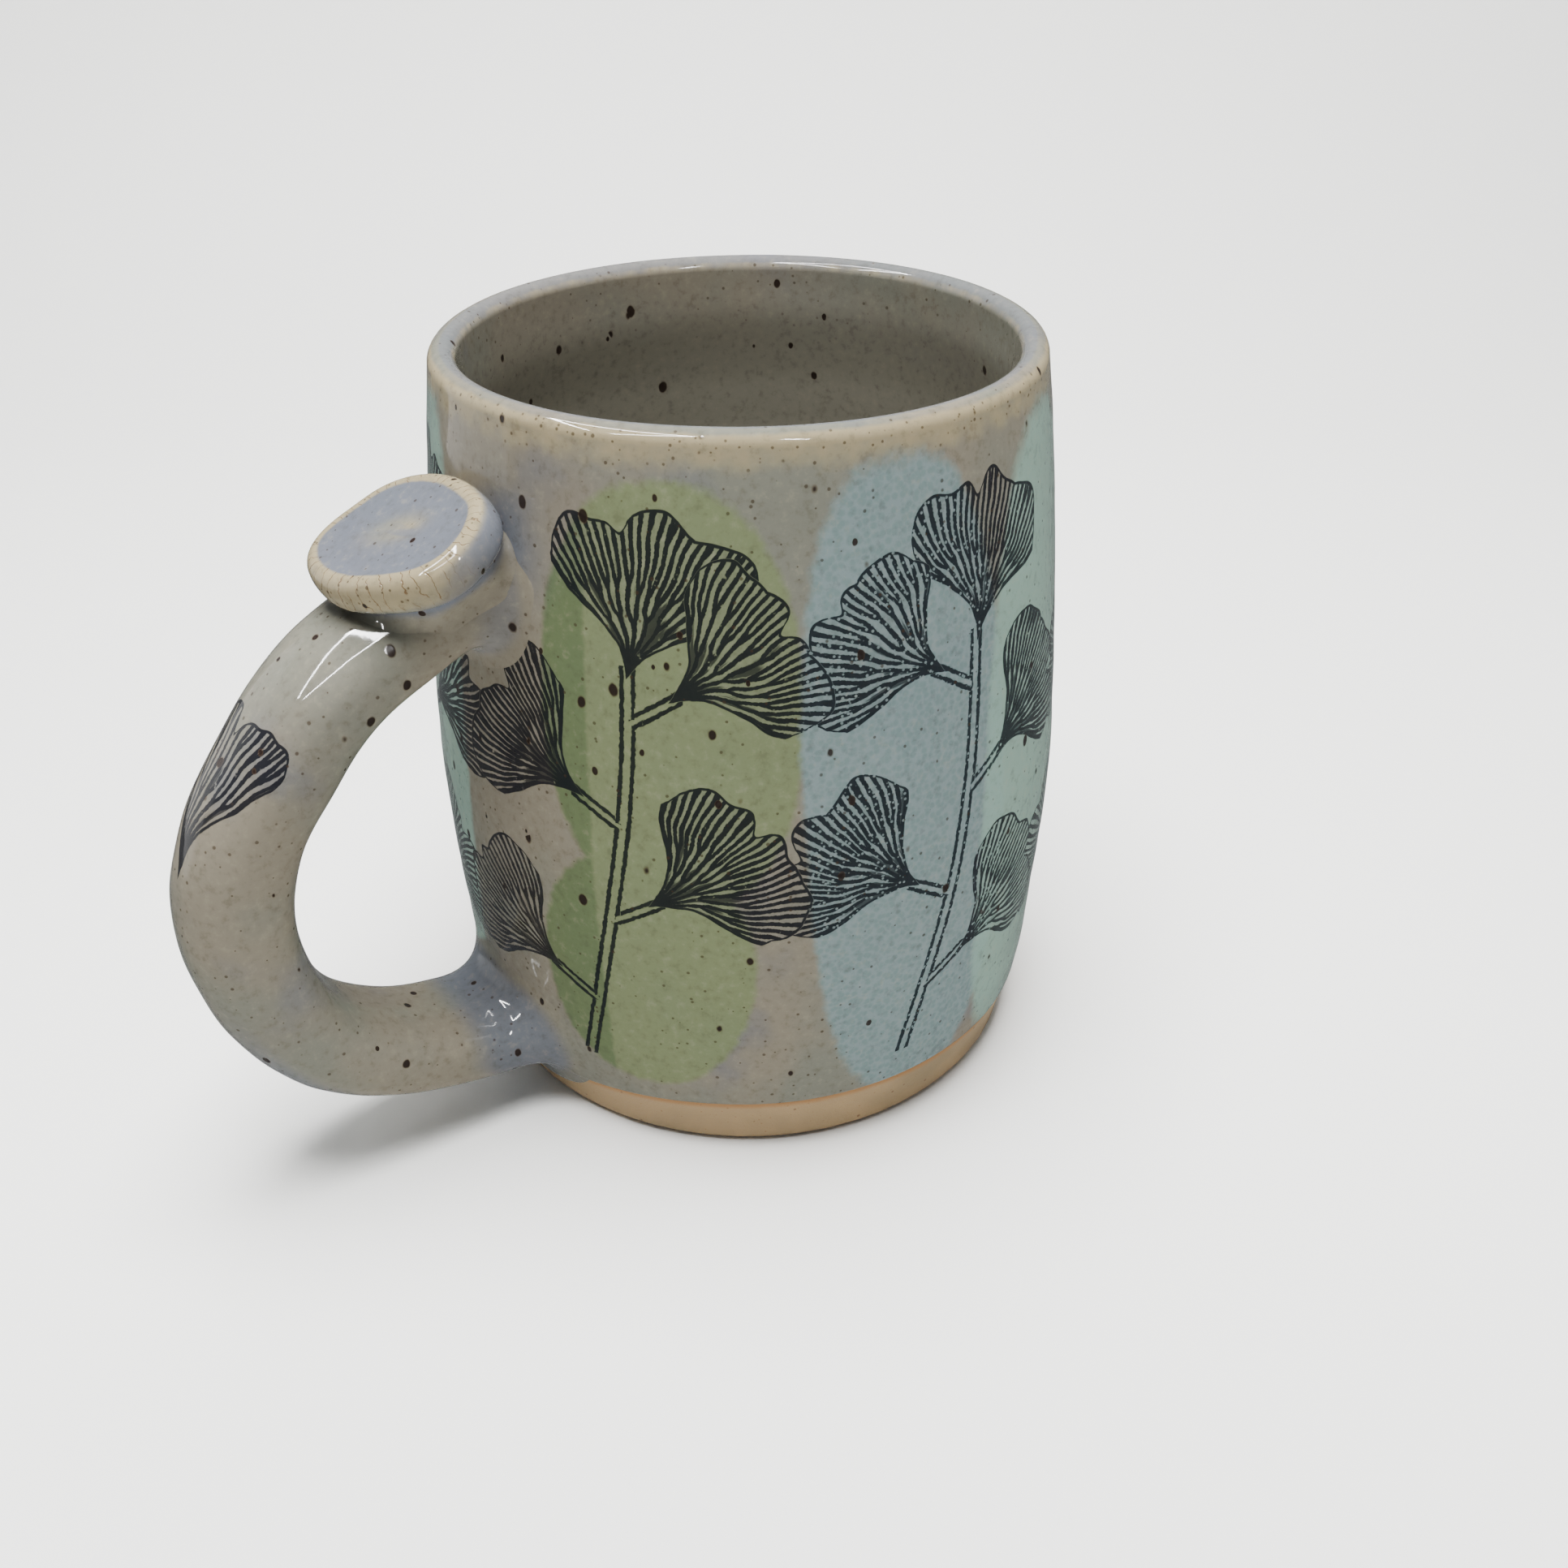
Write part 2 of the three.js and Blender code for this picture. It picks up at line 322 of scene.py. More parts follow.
def leaf_group():
    """The printed fan leaf: ink and inside, in the leaf's own millimetres, apex at 0, x along it."""
    tree = bpy.data.node_groups.new("fan_leaf", "ShaderNodeTree")
    for name in ("Leaf", "Shape", "Place"):
        tree.interface.new_socket(name, in_out="INPUT", socket_type="NodeSocketVector")
    for name in ("Ink", "Inside"):
        tree.interface.new_socket(name, in_out="OUTPUT", socket_type="NodeSocketFloat")
    start = tree.nodes.new("NodeGroupInput")
    place = Num(tree, start.outputs["Place"])
    x, y, tone = parts(Num(tree, start.outputs["Leaf"]))
    size, spread, seed = parts(Num(tree, start.outputs["Shape"]))
    wobble = noise(place, 0.14)
    tremble = noise(place, 1.3)
    x = x + (wobble - 0.5) * 1.6
    y = y + (noise(place, 0.12, 1.0) - 0.5) * 2.2 + (tremble - 0.5) * 0.22
    r = (x * x + y * y) ** 0.5
    q = r / size
    half = spread * (LEAF_NARROW + (1 - LEAF_NARROW) * q.ramp(0.0, LEAF_OPEN_AT))
    p = y.op("ARCTAN2", x) / half

    # The frilled far edge, with one notch.
    lobes = noise(vector(p * 1.9 + seed * 3.1, seed, 0.0), 1.0, 1.0)
    frill = abs((p * (spread * 5.5) + lobes * 3.0).sine())
    cut_at = ((seed.floor() * 0.377).fract() - 0.5) * 0.7
    cut_deep = seed.fract()
    cut = ((p - cut_at) * (p - cut_at) * -300.0 * (1.45 - q)).exponent()
    edge = size * (0.86 + (lobes - 0.5) * 0.26 + frill * 0.055 - (p * p) ** 3.0 * 0.20 - cut * cut_deep)
    rim = (edge - r).low((1.0 - abs(p)) * half * r)
    inside = rim.ramp(-0.06, 0.06)

    # The veins: each time that the leaf has widened enough, every vein forks.
    spacing = tone ** -1.0 * 1.12
    across = r * half * 2.0
    level = (across / (spacing * FIRST_VEINS)).high(1.0).op("LOGARITHM", 2.0)
    whole = level.floor()
    count = FIRST_VEINS * (whole * math.log(2)).exponent()
    cell = p * count * 0.5
    number = cell.floor()
    chance = ((number * 12.9898 + whole * 4.1 + seed * 7.7).sine() * 437.585).fract()
    fork = 0.25 * (level - whole).ramp(chance * 0.5, chance * 0.5 + 0.42)
    off = abs(abs(cell - number - 0.5) - fork) * across / count
    pen = 0.12 + 0.18 * tone * noise(place, 0.7) + 0.04 * tone
    vein = (off + (noise(place, 3.0) - 0.5) * 0.20).ramp(pen + 0.06, pen - 0.05)

    # Dark strokes near the apex, and the outline.
    shade = noise(vector(p * 6.0 + seed, q * 2.2, seed), 1.0)
    dark = (shade + (0.62 - q) * 0.55 * tone).ramp(0.66, 0.74) * q.ramp(0.95, 0.7)
    outline = rim.ramp(0.46, 0.30)
    end = tree.nodes.new("NodeGroupOutput")
    feed(end.inputs["Ink"], vein.high(dark * 0.85).high(outline) * inside)
    feed(end.inputs["Inside"], inside)
    return tree


LEAF = leaf_group()


def leaf_print(name, place):
    """The ink of the leaves that the mesh stores under this name, and where they cover the glaze."""
    node = place.tree.nodes.new("ShaderNodeGroup")
    node.node_tree = LEAF
    feed(node.inputs["Leaf"], attribute(place.tree, name))
    feed(node.inputs["Shape"], attribute(place.tree, name + "_shape"))
    feed(node.inputs["Place"], place)
    return Num(place.tree, node.outputs["Ink"]), Num(place.tree, node.outputs["Inside"])


# Display colours: first the glaze's own, with the inside's tone partly painted light, then its patches, the
# print, the spots and the bare clay.
TAUPE = colour(104, 104, 94)
WARM = colour(113, 107, 94)
PINK = colour(107, 101, 92)
LAVENDER = colour(83, 88, 99)
CREAM = colour(137, 126, 99)
# The inside's flat tone, paler than the glaze outside: partly the glaze's own colour, partly painted light
# inside the mug.
INSIDE_GLAZE_AND_LIGHT = colour(122, 119, 107)
GREEN = colour(101, 110, 79)
GREEN_DARK = colour(78, 92, 61)
BLUE = colour(98, 117, 117)
MINT = colour(122, 148, 137)
INK = colour(7, 10, 20)
SPOT = colour(30, 21, 18)
CLAY = colour(147, 122, 86)
CLAY_EDGE = colour(142, 98, 52)
ICE = colour(119, 133, 136)
WASH = colour(85, 85, 83)
GRAIN_DARK, GRAIN_PALE = colour(62, 58, 48), colour(156, 148, 128)
CRACK = colour(86, 62, 40)
SPOT_RIM, DOT = colour(66, 50, 34), colour(50, 38, 28)
CLAY_DARK, CLAY_PALE = colour(125, 106, 75), colour(156, 136, 102)
CLAY_SPOT, CLAY_DOT = colour(92, 62, 40), colour(120, 84, 50)


def millimetres(tree):
    """The place on the object, in millimetres."""
    place = tree.nodes.new("ShaderNodeTexCoord")
    scale = tree.nodes.new("ShaderNodeVectorMath")
    scale.operation = "SCALE"
    feed(scale.inputs[0], Num(tree, place.outputs["Object"]))
    feed(scale.inputs["Scale"], 1 / MM)
    return Num(tree, scale.outputs[0])


def flecks(place, scale, share, radius):
    """Round spots: one cell in 1/share has one, and each has its own size, with a soft rough edge."""
    stir = noise(place, scale * 3.0)
    distance, chance = cells(place, scale)
    pick, size, _ = parts(chance)
    reach = radius * (0.35 + 0.65 * size) * scale
    return (distance + (stir - 0.5) * 0.09).ramp(reach, reach * 0.55) * pick.op("LESS_THAN", share)


def new_material(name, roughness):
    """A material with its nodes and its shader."""
    material = bpy.data.materials.new(name)
    material.use_nodes = True
    tree = material.node_tree
    shader = tree.nodes["Principled BSDF"]
    shader.inputs["Roughness"].default_value = roughness
    return material, tree, shader


def bump(shader, height, depth):
    """Relief: height is in millimetres once it is multiplied by depth."""
    node = height.tree.nodes.new("ShaderNodeBump")
    node.inputs["Strength"].default_value = 1.0
    node.inputs["Distance"].default_value = depth * MM
    feed(node.inputs["Height"], height)
    height.tree.links.new(node.outputs["Normal"], shader.inputs["Normal"])


def glaze_material():
    """The glaze. Meshes say where it pools or has painted shade, thins to cream, is coloured and is printed.
    """
    material, tree, shader = new_material("glaze", 0.13)
    place = millimetres(tree)
    edge, pool_and_shade, inside = parts(attribute(tree, "wear_and_shade"))
    green, blue, mint = parts(attribute(tree, "coat"))
    band, _, _ = parts(attribute(tree, "line"))
    aside, stalk_half, _ = parts(attribute(tree, "stalk"))

    # The mottled ground.
    cloud = noise(place, 0.045, 4.0)
    grain = noise(place, 0.8, 4.0, 0.65)
    base = mix(TAUPE, WARM, cloud.ramp(0.4, 0.62))
    base = mix(base, PINK, noise(place, 0.03, 2.0).ramp(0.5, 0.7) * 0.6)
    base = mix(base, LAVENDER, noise(place, 0.06, 3.0).ramp(0.56, 0.72) * 0.45)
    # Inside, one flat paler tone: partly the glaze's own colour, partly painted light.
    base = mix(base, INSIDE_GLAZE_AND_LIGHT, inside)

    # The colour patches. The left side of the green ones is darker.
    ragged = (noise(place, 0.5, 3.0, 0.6) - 0.5) * 1.2
    tint = mix(GREEN, GREEN_DARK, (band + ragged * 0.5).ramp(0.4, -0.4) * 0.9)
    base = mix(base, tint, (green + ragged).ramp(-0.45, 0.55) * 0.9)
    crystal, _ = cells(place, 1.25)
    ice = mix(BLUE, ICE, crystal.ramp(0.25, 0.75) * 0.55)
    in_blue = (blue + ragged * 1.2).ramp(-0.5, 0.6)
    base = mix(base, ice, in_blue * 0.9)
    base = mix(base, MINT, (mint + ragged).ramp(-0.6, 0.8) * 0.85)

    # The print: leaves and stalks, broken by bubbles in the blue, over a thin wash inside each leaf.
    ink_a, inside_a = leaf_print("leaf_a", place)
    ink_b, inside_b = leaf_print("leaf_b", place)
    shaky = (noise(place, 1.4) - 0.5) * 0.45
    stalk = abs(abs(aside + shaky) - stalk_half).ramp(0.36, 0.22) * stalk_half.op("GREATER_THAN", 0.01)
    ink = ink_a.high(ink_b * (1.0 - inside_a)).high(stalk * (1.0 - inside_a))
    bubble, _ = cells(place, 1.45)
    worn = noise(place, 0.9, 3.0)
    solid = 1.0 - bubble.ramp(0.34, 0.20) * in_blue * 0.9
    ink = ink * solid * worn.ramp(0.22, 0.32) * (0.9 + 0.1 * grain)
    wash = inside_a.high(inside_b) * 0.22
    base = mix(base, WASH, wash)

    # Lavender where the glaze pools, and as painted shade in creases and on shaded sides; cream where it
    # thins over an edge.
    rough_edge = edge + (noise(place, 0.35, 3.0) - 0.5) * 0.7 * edge.ramp(0.02, 0.3)
    base = mix(base, LAVENDER, pool_and_shade.ramp(0.1, 0.9) * 0.85)
    base = mix(base, CREAM, rough_edge.ramp(0.25, 0.8) * 0.9)

    # Fine grain, and the ink over it.
    base = mix(base, GRAIN_DARK, grain.ramp(0.50, 0.28) * 0.30)
    base = mix(base, GRAIN_PALE, grain.ramp(0.52, 0.74) * 0.16)
    base = mix(base, INK, ink * 0.97)

    # The crackle on the thumb rest.
    around, crackly, _ = parts(attribute(tree, "crack"))
    split = around + (noise(place, 0.45, 3.0) - 0.5) * 1.8
    fresh = (split.floor() * 12.9898).sine().fract()
    broken = (noise(place, 0.6) + fresh * 0.3).ramp(0.42, 0.56)
    crack = abs(split.fract() - 0.5).ramp(0.055, 0.012) * broken
    crackle = crack * crackly * rough_edge.ramp(0.25, 0.6)
    base = mix(base, CRACK, crackle * 0.8)

    # Iron spots.
    x, y, z = parts(place)
    spots = flecks(vector(x, y, z * 0.7), 0.26, 0.72, 0.78)
    rim_dots = flecks(place, 1.0, 0.9, 0.27) * rough_edge.ramp(0.2, 0.6)
    dots = flecks(place, 0.8, 0.55, 0.30).high(rim_dots)
    base = mix(base, SPOT_RIM, spots.ramp(0.0, 0.4) * 0.5)
    base = mix(base, SPOT, spots.ramp(0.3, 0.8) * 0.95)
    base = mix(base, DOT, dots * (0.7 - inside * 0.6))

    feed(shader.inputs["Base Color"], base)
    feed(shader.inputs["Roughness"], 0.03 + 0.06 * grain + 0.10 * in_blue + spots * 0.15)
    shader.inputs["IOR"].default_value = 1.5
    shader.inputs["Specular IOR Level"].default_value = 0.22
    waves = noise(place, 0.55, 3.0) * 0.35 + noise(place, 0.16, 2.0) * 0.7
    bump(shader, waves - crackle * 1.2 + ink * 0.08 - spots * 0.6, 0.03)
    return material


def clay_material():
    """Bare fired clay, toasted along the edge of the glaze."""
    material, tree, shader = new_material("bare_clay", 0.8)
    place = millimetres(tree)
    edge, _, _ = parts(attribute(tree, "wear_and_shade"))
    grain = noise(place, 1.6, 5.0, 0.7)
    cloud = noise(place, 0.08, 3.0)
    base = mix(CLAY, CLAY_DARK, cloud.ramp(0.35, 0.7))
    base = mix(base, CLAY_PALE, (grain - 0.4).high(0.0) * 0.5)
    base = mix(base, CLAY_EDGE, (edge + (cloud - 0.5) * 0.5).ramp(0.25, 0.9) * 0.8)
    base = mix(base, CLAY_SPOT, flecks(place, 0.45, 0.5, 0.36) * 0.75)
    base = mix(base, CLAY_DOT, flecks(place, 1.1, 0.7, 0.18) * 0.6)
    feed(shader.inputs["Base Color"], base)
    feed(shader.inputs["Roughness"], 0.72 + 0.25 * grain)
    shader.inputs["IOR"].default_value = 1.45
    bump(shader, grain + noise(place, 5.0, 2.0) * 0.5, 0.07)
    return material


GLAZE, BARE = glaze_material(), clay_material()


# ---------------- the print: leaves, stalks and patches

# A leaf is: azimuth and height of its apex, direction (0 = to the right, 90 = up), length, half spread,
# tone and seed. The seed's whole part chooses its lobes and the rest is how deep its notch is.
# A leaf that comes first lies over the ones after it, and a third on the same face isn't drawn.
# A stalk is its half width and then its line of (azimuth, height).

# The stems: how many, the azimuth of the first, their lowest and highest points, how far they lean as they
# rise, and how many pairs of leaves each has below the one at its tip.
SPRIGS = 6
SPRIG_FIRST = -155.0
SPRIG_LOW, SPRIG_HIGH = 16.0, 72.0
SPRIG_LEAN = 12.0
SPRIG_PAIRS = 2

# The leaves: length, half spread and the rise of the side leaves, then the stalks and the stem.
LEAF_LONG, LEAF_SPREAD, LEAF_RISE = 22.0, 50.0, 32.0
STALK_LONG = 6.0
STEM_HALF, STALK_HALF = 0.72, 0.6
TIP_TONE, NOTCH_DEPTH = 1.2, 0.1


def sprig(azimuth, lean, number):
    """A plain leafy stem made by rule: leaves leave it left and right by turns, and one ends it."""

    def stem(t):
        return azimuth + lean * math.sin(t * math.pi / 2), SPRIG_LOW + (SPRIG_HIGH - SPRIG_LOW) * t

    leaves, stalks = [], [(STEM_HALF, *(stem(t) for t in np.linspace(0, 1, 7)))]
    count = 2 * SPRIG_PAIRS
    first_seed = number * (count + 1) + 1
    for k in range(count):
        side = 1 if (k + number) % 2 else -1
        around, height = stem((k + 0.6) / count)
        way = 90 - side * (90 - LEAF_RISE)
        c, up = math.cos(math.radians(way)), math.sin(math.radians(way))
        apex = around + math.degrees(STALK_LONG * c / ARC_RADIUS), height + STALK_LONG * up
        stalks.append((STALK_HALF, (around, height), apex))
        size, tone = LEAF_LONG * (1 - 0.08 * k / count), 1.1 + 0.1 * (k % 3)
        leaves.append((*apex, way, size, LEAF_SPREAD, tone, first_seed + k + NOTCH_DEPTH))
    leaves.append((*stem(1), 90 - lean, LEAF_LONG, LEAF_SPREAD, TIP_TONE, first_seed + count + NOTCH_DEPTH))
    return leaves, stalks


WALL_LEAVES, WALL_STALKS = [], []
for number in range(SPRIGS):
    leaves, stalks = sprig(SPRIG_FIRST + number * 360 / SPRIGS, SPRIG_LEAN, number)
    WALL_LEAVES += leaves
    WALL_STALKS += stalks

# In the strap's own millimetres, round it from its outer side and along it from the wall, as if on the wall.
HANDLE_LEAVES = [(0.0, 50.0, -90, 21.0, 34, 1.1, 4.1)]

# Each patch: azimuth and height of its centre, half width, half height, squareness, lean in degrees.
GREENS = [
    (-137.0, 68.5, 16.2, 26.5, 2.3, 0), (-143.0, 30.5, 14.2, 19.2, 2.2, -8),
    (110, 62, 15, 27, 2.3, 4), (6, 40, 14, 26, 2.2, -6),
]
BLUES = [(-95.0, 51.5, 14.6, 45.0, 2.7, 3), (72, 48, 14, 40, 2.6, -3)]
MINTS = [(-60.0, 50.0, 15.0, 46.0, 2.5, -2), (161.0, 55.0, 13.0, 43.0, 2.4, 0), (36, 54, 12.5, 36, 2.3, 4)]

# The green is darker to the left of this azimuth.
BAND_AT = -150.5

# Values that show nothing: far outside every patch, far from every stalk, and nowhere on the wall.
PATCH_REACH = 8.0
STALK_FAR = 9.0
NO_LEAF, NO_LEAF_SHAPE = (-50.0, 0.0, 1.0), (20.0, 0.8, 1.0)
NOWHERE = -500.0


def flat(azimuth, height):
    """A place on the wall, as millimetres round it and up it."""
    return np.stack([np.radians(azimuth) * ARC_RADIUS, np.asarray(height, float)], -1)


def turn_gap(around):
    """Millimetres round the wall, taken the short way."""
    whole = math.tau * ARC_RADIUS
    return (around + whole / 2) % whole - whole / 2


def local_place(where, azimuth, height, turn):
    """Each place in millimetres from a point of the wall, along a direction and to the left of it."""
    x = turn_gap(where[:, 0] - math.radians(azimuth) * ARC_RADIUS)
    y = where[:, 1] - height
    c, s = math.cos(math.radians(turn)), math.sin(math.radians(turn))
    return c * x + s * y, c * y - s * x


def oval(where, azimuth, height, half_width, half_height, square, lean):
    """Roughly how far inside the oval each place is, in millimetres."""
    x, y = local_place(where, azimuth, height, lean)
    x, y = np.abs(x) / half_width, np.abs(y) / half_height
    return (1 - (x**square + y**square) ** (1 / square)) * min(half_width, half_height)


def patches(where, ovals):
    """How far inside the nearest of the ovals each place is, in millimetres."""
    return np.clip(np.max([oval(where, *o) for o in ovals], axis=0), -PATCH_REACH, PATCH_REACH)


def band_values(around):
    """How far each place is to the right of the green's darker side, in millimetres round the wall."""
    band = np.where(around > 0, 5.0, turn_gap(around - math.radians(BAND_AT) * ARC_RADIUS))
    return np.stack([band, 0 * band, 0 * band], -1)


def stalk_strips(surface, where, stalks):
    """Writes the nearest stalk to each face's corners: distance to the side of it, and half its width."""
    faces = surface.faces
    corner = np.zeros((len(faces), 4, 3))
    corner[..., 0] = STALK_FAR
    best = np.full(len(faces), 1.3)
    middle = where[faces[:, 0]]
    middle = middle + turn_gap(where[faces] - middle[:, None]).mean(1)
    for half, *line in stalks:
        line = flat(*np.array(line, float).T)
        along = np.concatenate([[0], np.cumsum(np.linalg.norm(np.diff(line, axis=0), axis=1))])
        at = np.linspace(0, along[-1], max(2, round(along[-1] / 1.5)))
        fine = np.stack([curve(along, line[:, 0])(at), curve(along, line[:, 1])(at)], -1)
        for start, end in zip(fine[:-1], fine[1:]):
            length = np.linalg.norm(end - start)
            way = (end - start) / length
            offset = middle - start
            offset[:, 0] = turn_gap(offset[:, 0])
            ahead = np.clip(offset @ way, 0, length)
            gap = np.linalg.norm(offset - ahead[:, None] * way, axis=1) - half
            put = gap < best
            best[put] = gap[put]
            local = where[faces[put]] - start
            local[..., 0] = turn_gap(local[..., 0])
            aside, nothing = local[..., 1] * way[0] - local[..., 0] * way[1], 0 * local[..., 0]
            corner[put] = np.stack([aside, nothing + half, nothing], -1)
    surface.corner_values["stalk"] = corner


def leaf_layers(surface, where, leaves):
    """Writes the leaf that covers each face, and the one under it, to the corners of the face."""
    faces = surface.faces
    places = [np.tile(NO_LEAF, (len(faces), 4, 1)) for _ in range(2)]
    shapes = [np.tile(NO_LEAF_SHAPE, (len(faces), 4, 1)) for _ in range(2)]
    filled = np.zeros(len(faces), int)
    for azimuth, height, way, size, spread, tone, seed in leaves:
        x, y = local_place(where, azimuth, height, way)
        r, turn = np.hypot(x, y), np.abs(np.degrees(np.arctan2(y, x)))
        half = spread * (LEAF_NARROW + (1 - LEAF_NARROW) * step(0, LEAF_OPEN_AT, r / size))
        reach = size * (1.0 - 0.2 * np.minimum(turn / half, 1) ** 6)
        near = (r < reach + 1.2) & (np.radians(turn - half) * r < 1.3)
        hit = near[faces].any(1)
        for layer in (0, 1):
            put = hit & (filled == layer)
            corner = faces[put]
            places[layer][put] = np.stack([x[corner], y[corner], np.full(corner.shape, tone)], -1)
            shapes[layer][put] = (size, math.radians(spread), seed)
        filled[hit] += 1
    for key, place, shape in zip(("leaf_a", "leaf_b"), places, shapes):
        surface.corner_values[key] = place
        surface.corner_values[key + "_shape"] = shape


# ---------------- the thrown body

outer_radius = curve(*OUTER)
ring_height = curve(np.arange(0, 110, 3.4), np.random.default_rng(4).uniform(-1, 1, 33))


def wall_radius(azimuth, height):
    """The radius of the glazed wall, with the small unevenness that a thrown pot has."""
    turn = np.radians(azimuth)
    at = np.stack([40 * np.cos(turn), 40 * np.sin(turn), height + 0 * turn], -1)
    rings = ring_height(np.clip(height + azimuth / 120, 0, 105))
    return outer_radius(height) + 0.13 * uneven(at, 60, 11) + 0.05 * uneven(at, 17, 12) + 0.045 * rings


def on_wall(azimuth, height, out=0.0):
    """A point on the glazed wall, or out from it."""
    r = wall_radius(azimuth, height) + out
    turn = np.radians(azimuth)
    return np.stack([r * np.cos(turn), r * np.sin(turn), height + 0 * turn], -1)


def glaze_line(azimuth):
    """The height where the glaze was wiped off: wavy, and lower by the handle."""
    away = (azimuth % 360) - 180
    turn = np.radians(azimuth)
    wave = 0.22 * np.sin(3 * turn + 1) + 0.12 * np.sin(7 * turn)
    return GLAZE_LINE - GLAZE_DIP * np.exp(-((away / 30) ** 2)) + wave


AZIMUTH = np.arange(COLUMNS) * 360 / COLUMNS - 180
TURN = np.radians(AZIMUTH)


def turned(radii, heights):
    """The points of rings round the mug's axis."""
    return np.stack([radii * np.cos(TURN), radii * np.sin(TURN), heights], -1)


def last_ring(count):
    """The points of the last of count rings, as one face."""
    return (np.arange(COLUMNS) + (count - 1) * COLUMNS).tolist()


def body_rings():
    """The radius, height and wear of each ring, from the glaze's edge over the lip to the floor inside.

    Then how many of the rings come before the lip, and how many before the inside.
    """
    rings = []

    def add(radius, height, wear_and_shade):
        rings.append([value + 0 * TURN for value in (radius, height, wear_and_shade)])

    line = glaze_line(AZIMUTH)
    for sunk, up in GLAZE_EDGE:
        add(wall_radius(AZIMUTH, line + up) - sunk, line + up, 0.25)
    for t in np.linspace(0, 1, WALL_ROWS) ** 0.97:
        height = line + 0.4 + t * (LIP_AT[1] - line - 0.4)
        wear_and_shade = 0.30 * step(1.6, 0.0, height - line) + 0.62 * step(93.5, 97.8, height)
        add(wall_radius(AZIMUTH, height), height, wear_and_shade)
    outer_rows = len(rings)

    shift = wall_radius(AZIMUTH, LIP_AT[1]) - outer_radius(LIP_AT[1])
    for angle in np.linspace(0, math.pi, LIP_ROWS)[1:]:
        wear_and_shade = math.exp(-(((angle - 0.45) / 0.55) ** 2)) + 0.5 * math.exp(-(((angle - 2.7) / 0.4) ** 2))
        add(LIP_AT[0] + shift + LIP_RADIUS * math.cos(angle), LIP_AT[1] + LIP_RADIUS * math.sin(angle), wear_and_shade)
    top_rows = len(rings)

    inner_r, inner_z, length = path(((LIP_AT[0] - LIP_RADIUS, LIP_AT[1]),) + INNER)
    for s in np.linspace(0, length, INSIDE_ROWS)[1:]:
        z = float(inner_z(s))
        at = np.stack([30 * np.cos(TURN), 30 * np.sin(TURN), z + 0 * TURN], -1)
        ridge = 0.16 * ring_height(np.clip(z * 0.8 + AZIMUTH / 60 + 4, 0, 105)) + 0.10 * uneven(at, 30, 13)
        fade = min(1.0, (length - s) / 12) * step(0, 6, s)
        add(float(inner_r(s)) + shift * (1 - step(0, 10, s)) + ridge * fade, z, 0.35 * step(3.0, 0.0, s))

    radii, heights, wear_and_shade = np.array(rings).transpose(1, 0, 2)
    near_rim = step(88, 99, heights)
    heights = heights + near_rim * (0.14 * np.sin(2 * TURN + 0.6) + 0.09 * np.sin(3 * TURN + 2))
    return radii, heights, wear_and_shade, outer_rows, top_rows


def make_body():
    """The glazed wall: its front, its back and its inside, cut from one skin."""
    radii, heights, edge, outer_rows, top_rows = body_rings()
    count = len(radii)
    body = Surface(turned(radii, heights), grid_faces(count, COLUMNS), [last_ring(count)])

    row = np.repeat(np.arange(count), COLUMNS)
    height = heights.ravel()
    where = flat(np.tile(AZIMUTH, count), height)
    outside = row < outer_rows + 6
    inside = np.where(row >= top_rows, step(99, 84, height), 0.0)
    on_lip = 0.55 * step(1.6, 2.6, 6 - np.abs(row - outer_rows - 10))
    by_floor = np.where(row >= top_rows, 0.25 * step(16, 7, height), 0)
    from_neck = turn_gap(where[:, 0] - math.radians(-168.0) * ARC_RADIUS)
    # Lavender on the wall round the pad's neck: pooled glaze and painted shade beside the pad.
    pool_and_shade_by_neck = np.where(outside, 0.85 * np.exp(-((from_neck / 8) ** 2) - ((height - 84) / 8) ** 2), 0)
    body.values["wear_and_shade"] = np.stack([edge.ravel(), on_lip + by_floor + pool_and_shade_by_neck, inside], -1)

    below_lip = (step(98.6, 96.8, height) - 0.5) * 6
    coats = [np.where(outside, patches(where, kind), -PATCH_REACH) for kind in (GREENS, BLUES, MINTS)]
    body.values["coat"] = np.stack([np.minimum(coat, below_lip) for coat in coats], -1)
    body.values["line"] = band_values(where[:, 0])
    printed = np.where((outside & (height < 97.9))[:, None], where, (0, NOWHERE))
    leaf_layers(body, printed, WALL_LEAVES)
    stalk_strips(body, printed, WALL_STALKS)

    skin = np.repeat(np.arange(count - 1), COLUMNS) < top_rows + 3
    front = np.tile(np.arange(COLUMNS), count - 1) < COLUMNS // 2
    for name, keep, caps in (
        ("wall_front", skin & front, False),
        ("wall_back", skin & ~front, False),
        ("wall_inside", ~skin, True),
    ):
        piece = body.piece(name, GLAZE, keep, caps)
        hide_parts("body")
    return body


